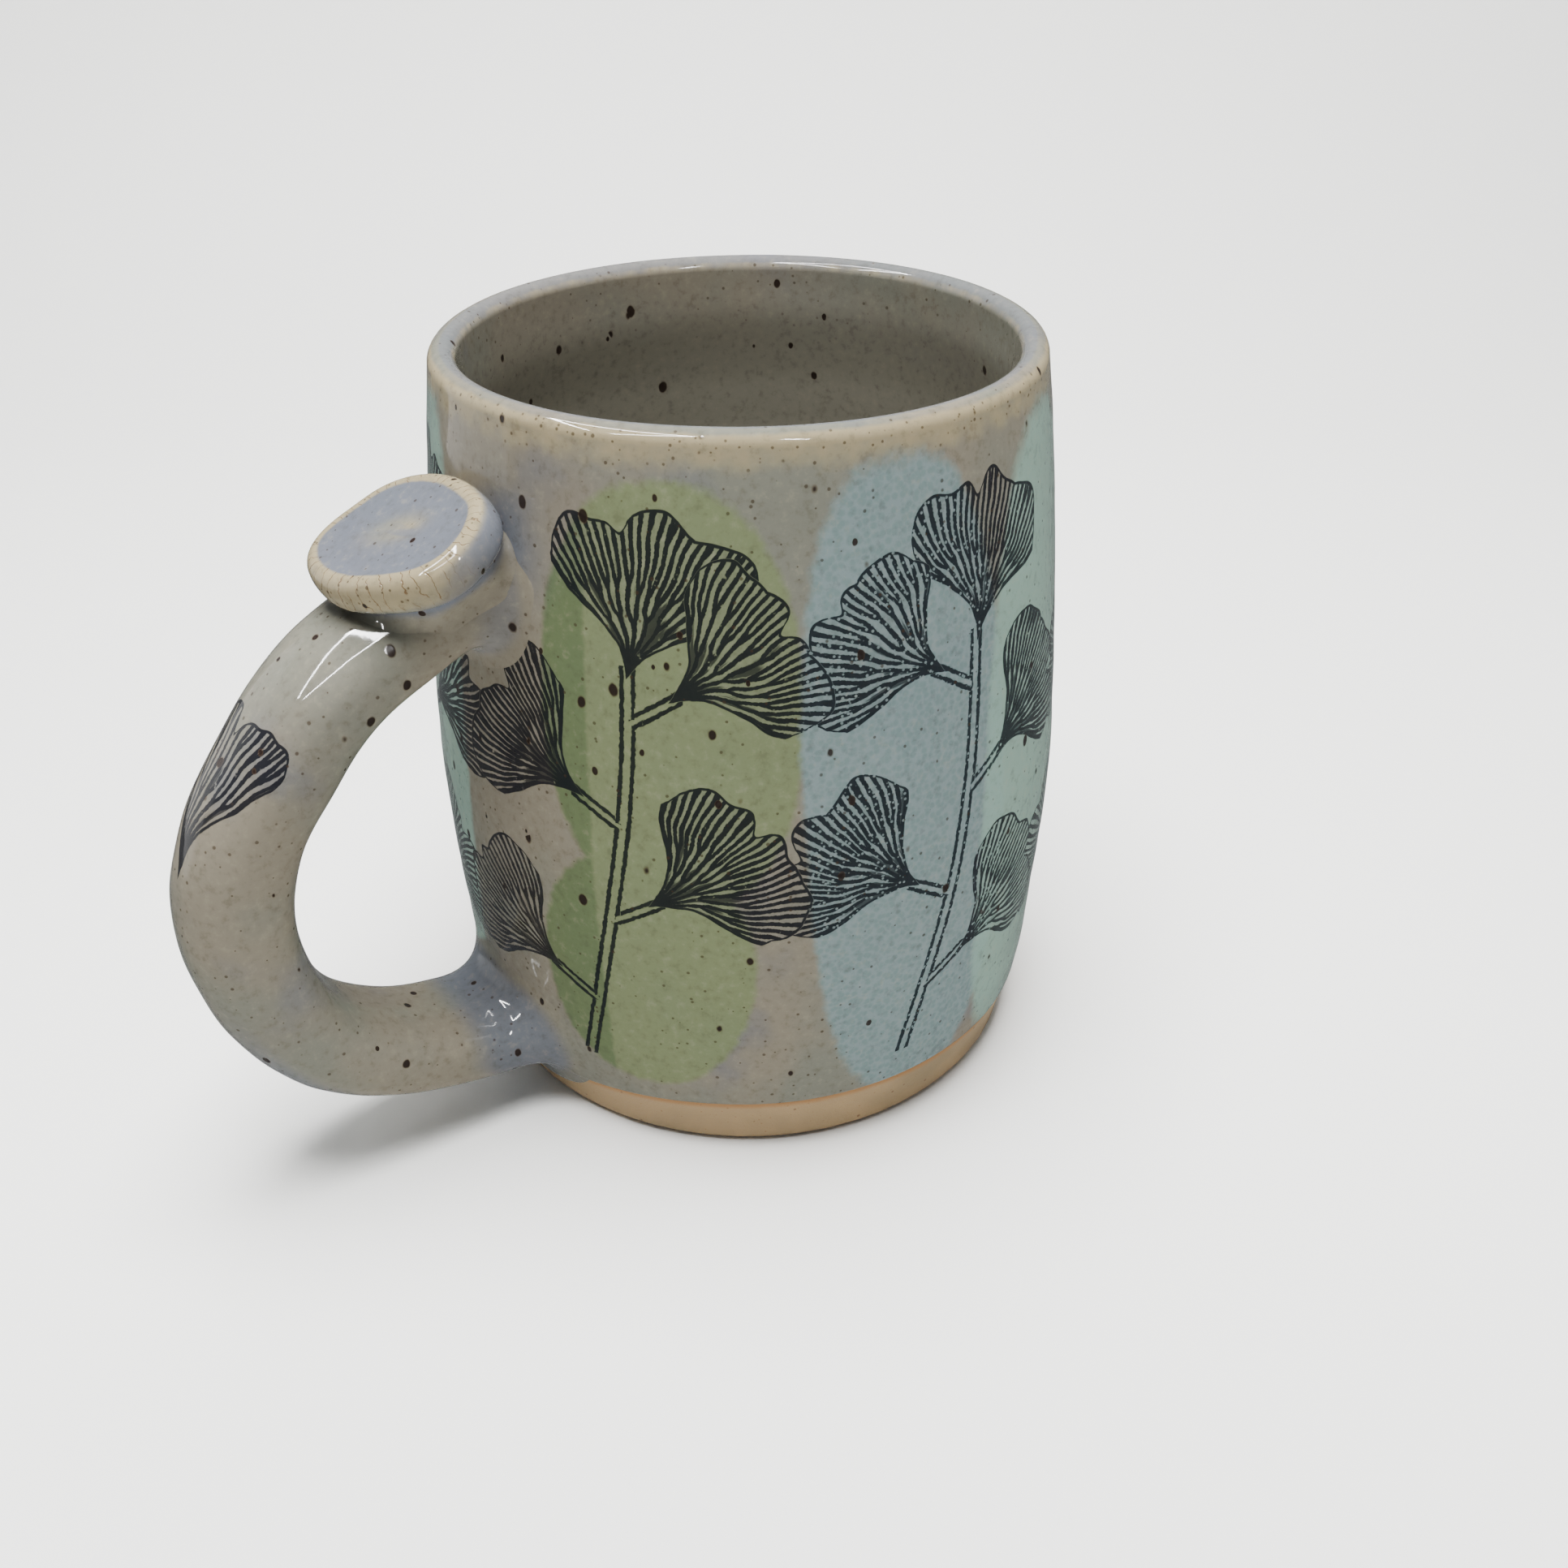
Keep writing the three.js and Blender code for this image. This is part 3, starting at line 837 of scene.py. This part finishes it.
def make_foot():
    """The bare clay below the glaze: a rounded foot and an underside trimmed a little hollow."""
    line = glaze_line(AZIMUTH)
    radii, heights, edge = [], [], []
    for t in np.linspace(0, 1, 16):
        height = (line + 0.8) * (1 - t) + FOOT_RADIUS * t
        sunk = GLAZE_THICK + 0.35 * step(0.0, 0.7, height - line)
        radii.append(wall_radius(AZIMUTH, height) - sunk)
        heights.append(height)
        edge.append(np.exp(-((np.maximum(line - height, 0) / 1.3) ** 2)))
    corner = radii[-1] - FOOT_RADIUS
    for angle in np.linspace(0, math.pi / 2, 8)[1:]:
        radii.append(corner + FOOT_RADIUS * math.cos(angle))
        heights.append(FOOT_RADIUS - FOOT_RADIUS * math.sin(angle) + 0 * TURN)
        edge.append(0 * TURN)
    for share in np.linspace(1, 0.02, 60)[1:]:
        groove = 0.05 * math.sin(share * 90) * step(0.92, 0.86, share)
        radii.append(corner * share)
        heights.append(FOOT_HOLLOW * step(0.95, 0.84, share) + groove + 0 * TURN)
        edge.append(0 * TURN)
    points = turned(np.array(radii), np.array(heights))
    grit = 0.03 * uneven(points, 2.5, 15) * (points[..., 2] > 0.5)
    points += grit[..., None] * unit(points * (1, 1, 0))

    count = len(radii)
    foot = Surface(points, grid_faces(count, COLUMNS)[:, ::-1], [last_ring(count)[::-1]])
    edge = np.array(edge).ravel()
    foot.values["wear_and_shade"] = np.stack([edge, 0 * edge, 0 * edge], -1)
    piece = foot.piece("foot", BARE, caps=True)
    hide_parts("body")


# ---------------- the handle and its two joints

strap_out, strap_up, STRAP_LENGTH = path(STRAP_LINE)


def strap_point(s, angle):
    """The strap's skin: s along its centreline, angle round its section from the outer side towards +Y."""
    t = s / STRAP_LENGTH
    ease = np.abs(2 * t - 1) ** 1.5
    width = STRAP_NARROW + ease * (np.where(t < 0.5, STRAP_WIDE, STRAP_LOWER) - STRAP_NARROW)
    thick = STRAP_THICKEST + ease * (STRAP_THICK - STRAP_THICKEST)
    ahead = np.stack([strap_out(s + 0.5) - strap_out(s - 0.5), strap_up(s + 0.5) - strap_up(s - 0.5)], -1)
    ahead = ahead / np.linalg.norm(ahead, axis=-1, keepdims=True)
    c, d = np.cos(angle), np.sin(angle)
    power = 2 / np.where(c > 0, OUTER_SQUARE, INNER_SQUARE)
    high = np.sign(c) * np.abs(c) ** power * thick / 2
    wide = np.sign(d) * np.abs(d) ** power * width / 2
    out = strap_out(s) - high * ahead[..., 1]
    up = strap_up(s) + high * ahead[..., 0]
    points = np.stack([-out, wide, up], -1)
    lump = 0.16 * uneven(points, 24, 21) + 0.06 * uneven(points, 9, 22)
    away = unit(np.stack([-(out - strap_out(s)), wide, up - strap_up(s)], -1))
    return points + lump[..., None] * away


def wall_gap(points):
    """How far outside the wall each point is."""
    azimuth = np.degrees(np.arctan2(points[..., 1], points[..., 0]))
    return np.hypot(points[..., 0], points[..., 1]) - wall_radius(azimuth, np.clip(points[..., 2], 0, 98))


def joint_rings(angles, upper, along, over_wall):
    """The rings that carry the strap's skin smoothly out onto the wall, from the strap to the wall.

    Then how far from its end the strap keeps its own shape, for each angle.
    """
    def from_end(distance, angle):
        return strap_point(distance if upper else STRAP_LENGTH - distance, angle)

    # Where each line along the strap's skin comes out of the wall.
    travel = np.linspace(0, STRAP_INSIDE_WALL, 261)
    gap = wall_gap(from_end(travel[:, None] + 0 * angles, angles[None] + 0 * travel[:, None]))
    index = np.argmax(gap > 0, axis=0)
    pick = np.arange(len(angles))
    hidden, shown = gap[index - 1, pick], gap[index, pick]
    at = travel[index - 1] + hidden / (hidden - shown) * travel[1]
    corner = from_end(at, angles)
    level = corner[:, 2]

    # Where each line lands on the wall, straight out from the strap's middle.
    sideways, upward, downward = over_wall
    azimuth = np.degrees(np.arctan2(corner[:, 1], corner[:, 0])) % 360
    around = np.stack([np.radians(azimuth - 180) * ARC_RADIUS, level - corner.mean(0)[2]], -1)
    around[:, 0] -= around[:, 0].mean()
    way = unit(around / np.abs(around).max(0) ** 2)
    reach = sideways * way[:, 0] ** 2 + np.where(way[:, 1] > 0, upward, downward) * way[:, 1] ** 2

    def wall_point(distance, out=0.0):
        turn = azimuth + np.degrees(way[:, 0] * distance / ARC_RADIUS)
        return on_wall(turn, level + way[:, 1] * distance, out)

    landing = wall_point(reach)
    leave = at + along * reach / max(over_wall)
    first = from_end(leave, angles)
    heading = unit(first - corner)
    normal = unit(landing * (1, 1, 0))
    lift = ((landing - corner) * normal).sum(1) / np.maximum((heading * normal).sum(1), 0.3)
    bend = corner + heading * lift[:, None]
    rings = [
        (1 - t) ** 2 * first + 2 * t * (1 - t) * bend + t * t * landing
        for t in np.linspace(0, 1, JOINT_RINGS)
    ]
    rings[-1] = wall_point(reach, -0.03)
    return rings + [wall_point(reach + 0.7, -0.25)], leave


def strap_places(points, upper_rings, first):
    """Each point's place on the strap, in millimetres: round it from its outer side, and along it."""
    along = np.linalg.norm(np.diff(points, axis=0), axis=-1).mean(1)
    along = np.concatenate([[0], np.cumsum(along)])
    along = np.repeat(along - along[upper_rings] + first, STRAP_SIDES)
    sides = np.linalg.norm(points - np.roll(points, 1, axis=1), axis=-1)
    girth = sides.sum(1, keepdims=True)
    around = np.cumsum(sides, axis=1) - sides
    around = around - girth * (around > girth / 2)
    return np.stack([around.ravel(), along], -1)


def make_handle():
    """The strap and its two joints, cut from one skin."""
    angles = np.arange(STRAP_SIDES) * math.tau / STRAP_SIDES
    upper, first = joint_rings(angles, True, *UPPER_REACH)
    lower, last = joint_rings(angles, False, *LOWER_REACH)
    shares = np.linspace(0, 1, STRAP_RINGS)
    run = [strap_point(first * (1 - t) + (STRAP_LENGTH - last) * t, angles) for t in shares]
    points = np.array(upper[::-1] + run[1:-1] + lower)
    count = len(points)
    strap = Surface(points, grid_faces(count, STRAP_SIDES))

    row = np.repeat(np.arange(count), STRAP_SIDES)
    angle = np.tile(angles, count)
    # Lavender at both joints, where glaze pools and shade is painted into the creases, and painted shade on
    # the strap's lower outer side, which faces down.
    near_upper = step(len(upper) + 6, len(upper) - 8, row) * step(1, 8, row)
    near_lower = step(count - len(lower) - 14, count - len(lower) + 2, row) * step(count - 2, count - 9, row)
    outer_low_pool_and_shade = step(0.2, 0.8, np.cos(angle)) * np.exp(-(((row / count - 0.68) / 0.12) ** 2))
    pool_and_shade = 0.75 * near_lower + 0.5 * near_upper + 0.6 * outer_low_pool_and_shade
    brow = np.abs(np.sin(angle)) ** 10 * step(-0.5, 0.2, np.cos(angle)) * 0.25
    strap.values["wear_and_shade"] = np.stack([brow, pool_and_shade, 0 * pool_and_shade], -1)

    # The wall's patches run out onto the joints, and fade as the skin leaves the wall.
    skin = strap.points
    place = flat(np.degrees(np.arctan2(skin[:, 1], skin[:, 0])), skin[:, 2])
    lifted = np.maximum(wall_gap(skin), 0) * 4
    coats = [np.maximum(patches(place, kind) - lifted, -PATCH_REACH) for kind in (GREENS, BLUES, MINTS)]
    strap.values["coat"] = np.stack(coats, -1)
    strap.values["line"] = band_values(place[:, 0])
    leaf_layers(strap, strap_places(points, len(upper), first.mean()), HANDLE_LEAVES)

    face_row = np.repeat(np.arange(count - 1), STRAP_SIDES)
    top, bottom = face_row < len(upper) - 1, face_row >= count - len(lower)
    for name, keep, node in (
        ("handle_strap", ~top & ~bottom, "handle"),
        ("upper_joint", top, "upper_joint_coil"),
        ("lower_joint", bottom, "lower_joint_coil"),
    ):
        piece = strap.piece(name, GLAZE, keep)
        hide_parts(node)
    return strap


# ---------------- the thumb rest

def pad_place(local):
    """The place on the mug of a point in the pad's own frame, where z is straight up from its top."""
    turn = Matrix.Rotation(math.radians(-PAD_TILT), 3, "Y") @ Matrix.Rotation(math.radians(PAD_TURN), 3, "Z")
    return local @ np.array(turn).T + np.array(PAD_CENTRE)


def pad_outline(angle, inset):
    """The pad's edge in its own plane, drawn in by inset: nearly round, flattened on the far side."""
    flatten = 1.1 * near_angle(angle, 72, 0.5) - 0.6 * near_angle(angle, 118, 0.35)
    wave = 0.22 * np.sin(3 * angle + 1.1) + 0.14 * np.sin(5 * angle + 0.4) - flatten
    return np.stack([np.cos(angle), np.sin(angle)], -1) * (np.array(PAD_HALF) + (wave - inset)[:, None])


PAD_ANGLES = np.arange(PAD_SIDES) * math.tau / PAD_SIDES


def make_pad():
    """The thumb rest: a thick round pad, cream along its edge and crackled."""
    inset, height, length = path(PAD_SECTION)
    # The pad's right side is painted in shade: less cream and more lavender there.
    right = near_angle(PAD_ANGLES, 290, 1.0)
    rings, wear_and_shade, pool_and_shade = [], [], []
    for s in np.linspace(0, length, PAD_RINGS):
        i, h = float(inset(s)), float(height(s))
        xy = pad_outline(PAD_ANGLES, i)
        lump = 0.10 * uneven(np.concatenate([xy, 0 * xy[:, :1]], -1), 9, 31)
        rings.append(pad_place(np.concatenate([xy, (h + lump)[:, None]], -1)))
        # Less cream low on the pad's side, and much less on its right: painted shade.
        side = (1 - 0.9 * right * step(2.38, 1.5, h)) * (1 - 0.25 * step(1.2, -0.6, h))
        wear_and_shade.append(0.95 * step(2.9, 1.8, i) * step(-2.4, -0.6, h) * side)
        # Lavender in the middle of the top where the glaze pools, and painted shade on the underside and on
        # the right side.
        top_or_under = 0.9 * step(1.6, 2.7, i) * (h > 0) + 0.7 * step(-1.6, -2.4, h)
        pool_and_shade.append(top_or_under + 0.85 * right * step(2.3, 1.2, h))
    pad = Surface(np.array(rings), grid_faces(PAD_RINGS, PAD_SIDES)[:, ::-1], [list(range(PAD_SIDES))])

    # A paler streak across the top.
    off_centre = pad.points - pad_place(np.array([0.5, 0.0, 2.0]))
    across = off_centre @ unit(np.array([0.75, 0.65, 0.2])) / 2.4
    along = off_centre @ unit(np.array([-0.65, 0.75, 0.0])) / 4.5
    streak = np.exp(-(across**2) - along**2)
    wear_and_shade, pool_and_shade = np.array(wear_and_shade).ravel(), np.array(pool_and_shade).ravel()
    wear_and_shade = np.maximum(wear_and_shade, 0.42 * streak * (wear_and_shade < 0.3))
    pad.values["wear_and_shade"] = np.stack([wear_and_shade, pool_and_shade * (1 - 0.8 * streak), 0 * wear_and_shade], -1)

    # Cracks are counted round the pad. The last column of faces ends at a full turn and not at 0.
    column = pad.faces % PAD_SIDES
    closing = (column.max(1) - column.min(1) > 1)[:, None] & (column == 0)
    crack = np.zeros((len(pad.faces), 4, 3))
    crack[..., 0] = (column + PAD_SIDES * closing) * PAD_CRACKS / PAD_SIDES
    crack[..., 1] = 1.0
    pad.corner_values["crack"] = crack
    finish_coat(pad)
    piece = pad.piece("thumb_pad", GLAZE, caps=True)
    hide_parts("thumb_rest")


def even(ring, times):
    """The values round a ring, each evened out with its neighbours."""
    for _ in range(times):
        ring = (np.roll(ring, 1, axis=0) + ring * 2 + np.roll(ring, -1, axis=0)) / 4
    return ring


def make_neck(*under):
    """The clay smoothed in below the pad, down to the surfaces under it."""
    trees = [surface.tree() for surface in under]
    centre = pad_place(np.zeros(3))
    down = pad_place(np.array([0, 0, -1.0])) - centre
    xy = pad_outline(PAD_ANGLES, NECK_INSET) * (1.0, 0.97)
    starts = pad_place(np.concatenate([xy, np.full((PAD_SIDES, 1), NECK_START)], -1))
    away = unit((starts - centre) - ((starts - centre) @ down)[:, None] * down)

    # Straight down where there is something to land on, and drawn in where the pad overhangs.
    depth = np.full(PAD_SIDES, NECK_REACH)
    for k, start in enumerate(starts):
        hits = [tree.ray_cast(Vector(start), Vector(down))[3] for tree in trees]
        depth[k] = min([hit for hit in hits if hit is not None] + [NECK_REACH])
    hang = even(step(2.6, NECK_REACH, depth), 6)[:, None]
    goal = starts + down * even(depth, 4)[:, None] + away * (2.4 - 3.6 * hang)
    found = [min((tree.find_nearest(Vector(p)) for tree in trees), key=lambda near: near[3]) for p in goal]
    landing = even(np.array([near[0] for near in found]), 3)
    normal = unit(even(np.array([near[1] for near in found]), 3))

    back = starts - landing
    slope = unit(back - (back * normal).sum(1)[:, None] * normal)
    span = np.linalg.norm(back, axis=1)[:, None]
    first, second = starts + down * span * 0.38, landing + slope * span * 0.5
    rings = [starts - down * 0.9]
    for t in np.linspace(0, 1, NECK_RINGS):
        upper = (1 - t) ** 3 * starts + 3 * t * (1 - t) ** 2 * first
        rings.append(upper + 3 * t * t * (1 - t) * second + t**3 * landing)
    rings.append(landing - slope * 0.6 - normal * 0.35)
    neck = Surface(np.array(rings), grid_faces(len(rings), PAD_SIDES)[:, ::-1])
    # Painted shade under the pad: lavender down the neck, strongest at the pad and gone before it lands.
    fade = np.repeat(0.9 * step(0.8, 0.15, np.linspace(0, 1, len(rings))), PAD_SIDES)
    neck.values["wear_and_shade"] = np.stack([0 * fade, fade, 0 * fade], -1)
    finish_coat(neck)
    piece = neck.piece("pad_neck", GLAZE)
    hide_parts("thumb_rest_coil")


def finish_coat(surface):
    """No patches and no print on this skin."""
    count = len(surface.points)
    surface.values["coat"] = np.full((count, 3), -PATCH_REACH)
    surface.values["line"] = np.full((count, 3), 9.0)
    leaf_layers(surface, np.full((count, 2), NOWHERE), [])


body = make_body()
make_foot()
strap = make_handle()
make_pad()
make_neck(body, strap)


# ---------------- stage, light and camera

# In metres. AHEAD is the level direction from the camera to the mug.
AHEAD, ASIDE = np.array([0.581, 0.814, 0.0]), np.array([0.814, -0.581, 0.0])
FLOOR_WIDE = 1.2
FLOOR_FRONT, FLOOR_BACK, SWEEP_RADIUS, SWEEP_TOP = -1.0, 0.25, 0.12, 0.9
PAPER = (0.86, 0.86, 0.84, 1)

# The photograph's camera: its place in millimetres, and its own right and up.
LENS, SENSOR = 36.06, 36
CAMERA_AT = (-108.64, -161.06, 156.03)
CAMERA_RIGHT = (0.81173, -0.58401, -0.00547)
CAMERA_ABOVE = (0.31564, 0.43079, 0.84545)


def make_stage():
    """A pale sweep: a floor that curves up into a back wall, well behind the mug."""
    profile = [(FLOOR_FRONT, 0.0), (0.0, 0.0), (0.1, 0.0), (FLOOR_BACK, 0.0)]
    for angle in np.linspace(0.1, math.pi / 2, 16):
        profile.append((FLOOR_BACK + SWEEP_RADIUS * math.sin(angle), SWEEP_RADIUS * (1 - math.cos(angle))))
    profile.append((FLOOR_BACK + SWEEP_RADIUS + 0.002, SWEEP_TOP))
    points = []
    for ahead, height in profile:
        wide = FLOOR_WIDE + max(ahead, 0) * 1.2
        for side in (-wide, wide):
            points.append(AHEAD * ahead + ASIDE * side + np.array([0, 0, height - 0.0001]))
    faces = [(2 * i, 2 * i + 1, 2 * i + 3, 2 * i + 2) for i in range(len(profile) - 1)]
    mesh = bpy.data.meshes.new("floor")
    mesh.from_pydata([tuple(p) for p in points], [], faces)
    mesh.shade_smooth()
    material, _, shader = new_material("paper", 0.6)
    shader.inputs["Base Color"].default_value = PAPER
    shader.inputs["Specular IOR Level"].default_value = 0.2
    mesh.materials.append(material)
    floor = bpy.data.objects.new("floor", mesh)
    bpy.context.scene.collection.objects.link(floor)
    floor.visible_glossy = False


def softbox(name, at, aim, width, height, power):
    """A rectangular lamp that faces the point aimed at."""
    data = bpy.data.lights.new(name, "AREA")
    data.shape, data.size, data.size_y, data.energy = "RECTANGLE", width, height, power
    lamp = bpy.data.objects.new(name, data)
    lamp.location = at
    lamp.rotation_euler = (Vector(aim) - Vector(at)).to_track_quat("-Z", "Y").to_euler()
    bpy.context.scene.collection.objects.link(lamp)
    return lamp


def tube(name, start, end, power):
    """A thin bright bar from start to end, turned towards the mug."""
    start, end = Vector(start), Vector(end)
    along, middle = (end - start).normalized(), (start + end) / 2
    toward = Vector((0, 0, 0.05)) - middle
    toward = (toward - toward.dot(along) * along).normalized()
    lamp = softbox(name, middle, (0, 0, 0), (end - start).length, 0.020, power)
    lamp.rotation_euler = Matrix((along, (-toward).cross(along), -toward)).transposed().to_euler()
    return lamp


def make_lights():
    """One soft box lights the mug. A card and four bars are only there for their reflections."""
    top_box = softbox("top_box", (-0.04, -0.025, 0.62), (0.0, 0.0, 0.0), 0.34, 0.40, 15.4)
    top_box.visible_glossy = False
    mirrored = [softbox("side_card", (-0.45, 0.55, 0.15), (0.0, 0.0, 0.06), 0.5, 0.5, 0.9)]
    for name, start, end in (
        ("bar_one", (-0.24, 0.33, 0.6), (-0.66, 0.06, 0.6)),
        ("bar_two", (-0.24, -0.15, 0.6), (-0.66, -0.06, 0.6)),
        ("bar_three", (-0.24, 0.33, 0.6), (-0.24, -0.15, 0.6)),
        ("bar_four", (-0.16, -0.55, 0.6), (-0.12, -0.80, 0.6)),
    ):
        mirrored.append(tube(name, start, end, 7.0))
    for lamp in mirrored:
        lamp.visible_diffuse = False
    world = bpy.data.worlds.new("room")
    world.use_nodes = True
    background = world.node_tree.nodes["Background"]
    background.inputs["Color"].default_value = (0.90, 0.92, 0.95, 1)
    background.inputs["Strength"].default_value = 0.19
    bpy.context.scene.world = world


def make_camera():
    data = bpy.data.cameras.new("camera")
    data.lens, data.sensor_width, data.clip_start = LENS, SENSOR, 0.01
    camera = bpy.data.objects.new("camera", data)
    right, above = Vector(CAMERA_RIGHT), Vector(CAMERA_ABOVE)
    turn = Matrix((right, above, right.cross(above).normalized())).transposed().to_4x4()
    camera.matrix_world = Matrix.Translation(Vector(CAMERA_AT) * MM) @ turn
    bpy.context.scene.collection.objects.link(camera)
    bpy.context.scene.camera = camera


make_stage()
make_lights()
make_camera()
